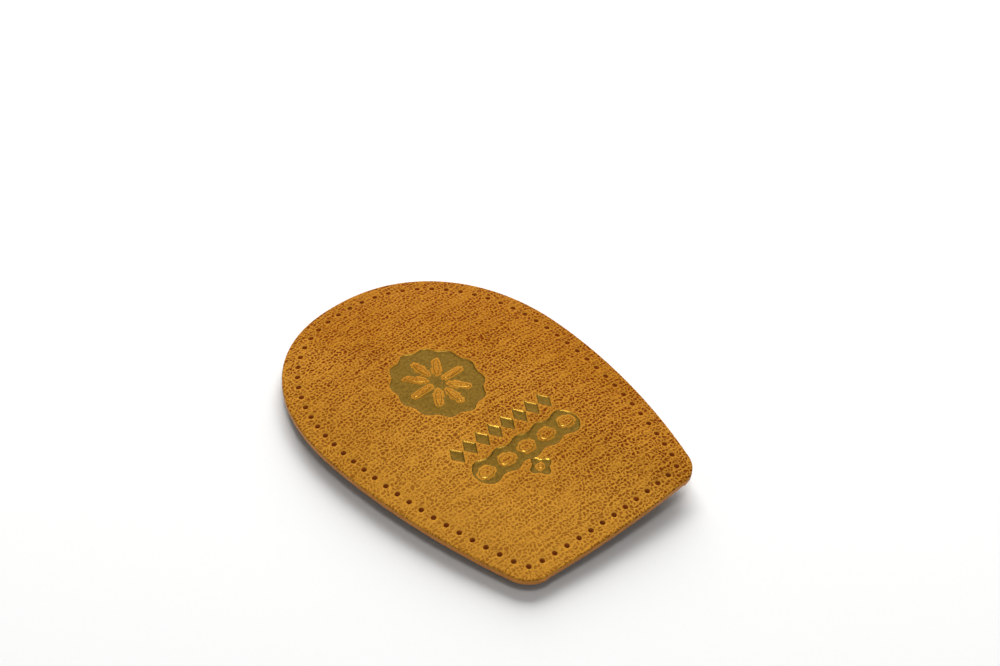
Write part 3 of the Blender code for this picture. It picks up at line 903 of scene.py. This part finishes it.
class HEELPAD_OT_cushion(bpy.types.Operator):
    """Makes the perforated foam cushion with its pared front band"""

    bl_idname = "heelpad.cushion"
    bl_label = "Foam Cushion"

    def execute(self, context):
        shape, foam = context.scene.heelpad_shape, context.scene.heelpad_foam
        form = PadForm(shape)
        edge = inset(form.outline, shape.foam_inset)
        wedge = form.wedge_edge()
        centres = self.hole_centres(form, foam, edge, wedge)
        holes = [oval(c, foam.hole_radius) for c in centres]
        rows = [inset(edge, shape.foam_round * s) for s in FOAM_ROWS]
        rows += [oval(c, foam.hole_radius + s * MM) for c in centres for s in FOAM_COLLARS]
        field = spread(edge, FOAM_SPACING, np.vstack(rows + [edge]))
        spots = np.vstack(rows + [field, self.band_spots(form, edge)])
        spots = spots[distance_to_spots(spots, centres) > foam.hole_radius * 1.02]

        def pared(points):
            return points[:, 1] > self.band_y(form, points[:, 0])

        def bottom(points):
            reach = distance_to_loops(points, [edge])
            off = distance_to_spots(points, centres) - foam.hole_radius
            lip = LIP_HEIGHT * np.exp(-((np.maximum(off, 0) / LIP_REACH) ** 2))
            return form.foam_bottom(points) + edge_drop(reach, shape.foam_round) + lip

        solid = Solid()
        lower = solid.side([edge] + holes, spots, bottom, False, pared)
        upper = solid.side([edge] + holes, field, form.foam_top, True, 2)
        solid.walls(lower, upper, 0)
        skin = brushed_foam("latex_foam_brushed", foam.skin, 0.9)
        cut = brushed_foam("latex_foam_pared", foam.pared, 0.95)
        piece = solid.piece("cushion", [skin, cut, glue_film()])
        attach(piece, BODY)
        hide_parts("foam_pad")
        return {"FINISHED"}

    @staticmethod
    def band_y(form, x):
        """Where the pared band starts: along the front edge, and further back at its two ends."""
        shape = form.shape
        start = form.front_y(x) - shape.foam_inset - shape.skive_width
        into_end = np.maximum(0, np.abs(x) - BAND_STRAIGHT * shape.width)
        return start - BAND_BEND * (into_end / MM) ** 2 * MM

    @staticmethod
    def band_spots(form, edge):
        """A row of points on either side of the line where the pared band starts."""
        x = np.linspace(-form.half_width, form.half_width, BAND_POINTS)
        y = HEELPAD_OT_cushion.band_y(form, x)
        spots = np.vstack([np.column_stack([x, y + s * MM]) for s in (-0.12, 0.12)])
        return spots[inside(spots, inset(edge, 0.4 * MM))]

    @staticmethod
    def hole_centres(form, foam, edge, wedge):
        """Staggered rows of holes, away from the foam's edge and from the wedge, which covers the others."""
        centres = []
        for row in range(int(form.shape.length / foam.row_pitch) + 1):
            y = form.half_length - foam.first_row - row * foam.row_pitch
            shift = foam.row_shift - (row % 2) * foam.hole_pitch / 2
            across = int(form.shape.width / foam.hole_pitch)
            centres += [(shift + k * foam.hole_pitch, y) for k in range(-across, across + 1)]
        centres = np.array(centres)
        near_edge = foam.hole_radius + foam.margin
        keep = inside(centres, edge) & (distance_to_loops(centres, [edge]) > near_edge)
        keep &= ~inside(centres, wedge) & (distance_to_loops(centres, [wedge]) > foam.hole_radius)
        return centres[keep]


class HEELPAD_OT_wedge(bpy.types.Operator):
    """Makes the moulded wedge with its grooved tread"""

    bl_idname = "heelpad.wedge"
    bl_label = "Moulded Wedge"

    def execute(self, context):
        shape, settings = context.scene.heelpad_shape, context.scene.heelpad_wedge
        form = PadForm(shape)
        edge = form.wedge_edge()
        grooves = self.grooves(form, settings, edge)
        reach = settings.groove_width / 2
        rows = [inset(edge, shape.wedge_round * s) for s in WEDGE_ROWS]
        for line in grooves:
            aside = leftwards(np.gradient(line, axis=0)) * reach
            rows += [line + aside * s for s in GROOVE_ROWS]
            for end in (line[0], line[-1]):
                rows += [oval(end, reach * s, count=GROOVE_END_SIDES) for s in GROOVE_END_ROWS]
        field = spread(edge, WEDGE_SPACING, np.vstack(rows + [edge]))
        spots = np.vstack(rows + [field])
        spots = spots[inside(spots, edge)]

        def bottom(points):
            off = np.clip(distance_to_lines(points, grooves) / reach, 0, 1)
            groove = settings.groove_depth * (1 - off**2) ** 1.5
            fall = edge_drop(distance_to_loops(points, [edge]), shape.wedge_round)
            return np.maximum(groove, fall)

        solid = Solid()
        lower = solid.side([edge], spots, bottom, False, 0)
        upper = solid.side([edge], field, form.wedge_top, True, 0)
        solid.walls(lower, upper, 0)
        piece = solid.piece("wedge", [moulded_white(settings)])
        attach(piece, BODY)
        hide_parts("side_wedge")
        return {"FINISHED"}

    @staticmethod
    def grooves(form, settings, edge):
        """The middle lines of the grooves, clipped to the tread and kept out of its plain patch."""
        field = inset(edge, settings.border)
        patch = np.array((0, settings.patch_from_heel - form.half_length))
        across = np.arange(-form.half_width, form.half_width, GROOVE_STEP)
        paths = []
        radius = settings.row_radius
        rows = int(form.shape.length / settings.row_pitch)
        for i in range(-rows, rows + 1):
            y = i * settings.row_pitch - radius + np.sqrt(radius**2 - across**2)
            paths.append(np.column_stack([across, y]))
        along = np.array((math.cos(settings.diagonal_angle), math.sin(settings.diagonal_angle)))
        aside = np.array((-along[1], along[0]))
        reach = np.arange(-form.shape.length, form.shape.length, GROOVE_STEP)
        count = int(form.shape.length / settings.diagonal_pitch)
        for i in range(-count, count + 1):
            paths.append(aside * i * settings.diagonal_pitch + along * reach[:, None])
        grooves = []
        for path in paths:
            off = (path - patch) * 2 / (settings.patch_length, settings.patch_width)
            keep = inside(path, field) & ((off**2).sum(1) > 1)
            cuts = np.flatnonzero(np.diff(keep.astype(int))) + 1
            for run, here in zip(np.split(path, cuts), np.split(keep, cuts)):
                if here[0] and len(run) * GROOVE_STEP > SHORTEST_GROOVE:
                    grooves.append(run)
        return grooves


class HEELPAD_OT_stage(bpy.types.Operator):
    """Makes the pale floor, the studio lights and the camera"""

    bl_idname = "heelpad.stage"
    bl_label = "Stage"

    def execute(self, context):
        stage = context.scene.heelpad_stage
        self.floor(stage)
        self.lights(stage)
        self.camera()
        return {"FINISHED"}

    @staticmethod
    def floor(stage):
        half = 2.5
        corners = [(-half, -half, 0), (half, -half, 0), (half, half, 0), (-half, half, 0)]
        mesh = bpy.data.meshes.new("floor")
        mesh.from_pydata(corners, [], [(0, 1, 2, 3)])
        mesh.materials.append(matt_floor(stage.floor))
        floor = new_object("floor", mesh)
        # Just below the tread, so that the two faces don't coincide
        floor.location.z = -0.02 * MM

    @staticmethod
    def lights(stage):
        world = bpy.data.worlds.new("studio")
        bpy.context.scene.world = world
        world.use_nodes = True
        tree = world.node_tree
        way = add_node(tree, "TexCoord", output="Generated")
        rise = add_node(tree, "SeparateXYZ", {"Vector": way}, output="Z")
        fade = {"From Min": 0.1, "From Max": 0.5, "To Min": stage.horizon, "To Max": stage.sky}
        glow = add_node(tree, "MapRange", {"Value": rise, **fade}, interpolation_type="SMOOTHSTEP")
        set_inputs(tree, tree.nodes["Background"], {"Color": (1, 1, 1, 1), "Strength": glow})
        lamps = [
            # name, place, size, watts, whether it lights surfaces, whether glossy surfaces mirror it
            ("back_light", (-0.80, -0.86, 0.68), 1.15, stage.back_power, True, False),
            ("top_light", (0.10, 0.10, 0.74), 0.24, stage.top_power, True, True),
            ("card", (-0.42, -0.42, 0.50), 0.60, stage.card_power, False, True),
            ("glint_lamp", (0.16, 0.16, 0.70), 0.22, stage.glint_power, False, True),
        ]
        for name, place, size, watts, lighting, mirrored in lamps:
            lamp = bpy.data.lights.new(name, "AREA")
            lamp.size = size
            lamp.energy = watts
            made = new_object(name, lamp)
            made.location = place
            made.visible_diffuse = lighting
            made.visible_glossy = mirrored
            made.rotation_euler = (-Vector(place)).to_track_quat("-Z", "Y").to_euler()

    @staticmethod
    def camera():
        lens = bpy.data.cameras.new("camera")
        lens.lens = FOCAL_LENGTH
        lens.sensor_width = SENSOR_WIDTH
        lens.clip_start = 0.01
        camera = new_object("camera", lens)
        place = Vector(CAMERA_PLACE)
        roll = Matrix.Rotation(CAMERA_ROLL, 4, "Z")
        aim = (Vector(CAMERA_TARGET) - place).to_track_quat("-Z", "Y").to_matrix().to_4x4()
        camera.matrix_world = Matrix.Translation(place) @ aim @ roll
        bpy.context.scene.camera = camera
        bpy.context.scene.view_settings.view_transform = "Standard"


class HEELPAD_PT_panel(bpy.types.Panel):
    """Lists the heel pad's operators and settings"""

    bl_idname = "HEELPAD_PT_panel"
    bl_label = "Heel Pad"
    bl_space_type = "VIEW_3D"
    bl_region_type = "UI"
    bl_category = "Heel Pad"

    def draw(self, context):
        for operator in OPERATORS:
            self.layout.operator(operator.bl_idname)
        for setting, group in SETTINGS.items():
            box = self.layout.box()
            box.label(text=group.__doc__)
            for name in group.__annotations__:
                box.prop(getattr(context.scene, setting), name)


OPERATORS = [HEELPAD_OT_cover, HEELPAD_OT_foil, HEELPAD_OT_cushion, HEELPAD_OT_wedge, HEELPAD_OT_stage]
SETTINGS = {
    "heelpad_shape": HeelPadShape,
    "heelpad_leather": HeelPadLeather,
    "heelpad_foil": HeelPadFoil,
    "heelpad_foam": HeelPadFoam,
    "heelpad_wedge": HeelPadWedge,
    "heelpad_stage": HeelPadStage,
}


def register():
    for name, group in SETTINGS.items():
        bpy.utils.register_class(group)
        setattr(bpy.types.Scene, name, PointerProperty(type=group))
    for item in OPERATORS + [HEELPAD_PT_panel]:
        bpy.utils.register_class(item)


def unregister():
    for item in reversed(OPERATORS + [HEELPAD_PT_panel]):
        bpy.utils.unregister_class(item)
    for name, group in SETTINGS.items():
        delattr(bpy.types.Scene, name)
        bpy.utils.unregister_class(group)


def main():
    register()
    bpy.ops.heelpad.cover()
    bpy.ops.heelpad.foil()
    bpy.ops.heelpad.cushion()
    bpy.ops.heelpad.wedge()
    bpy.ops.heelpad.stage()


if __name__ == "__main__":
    main()
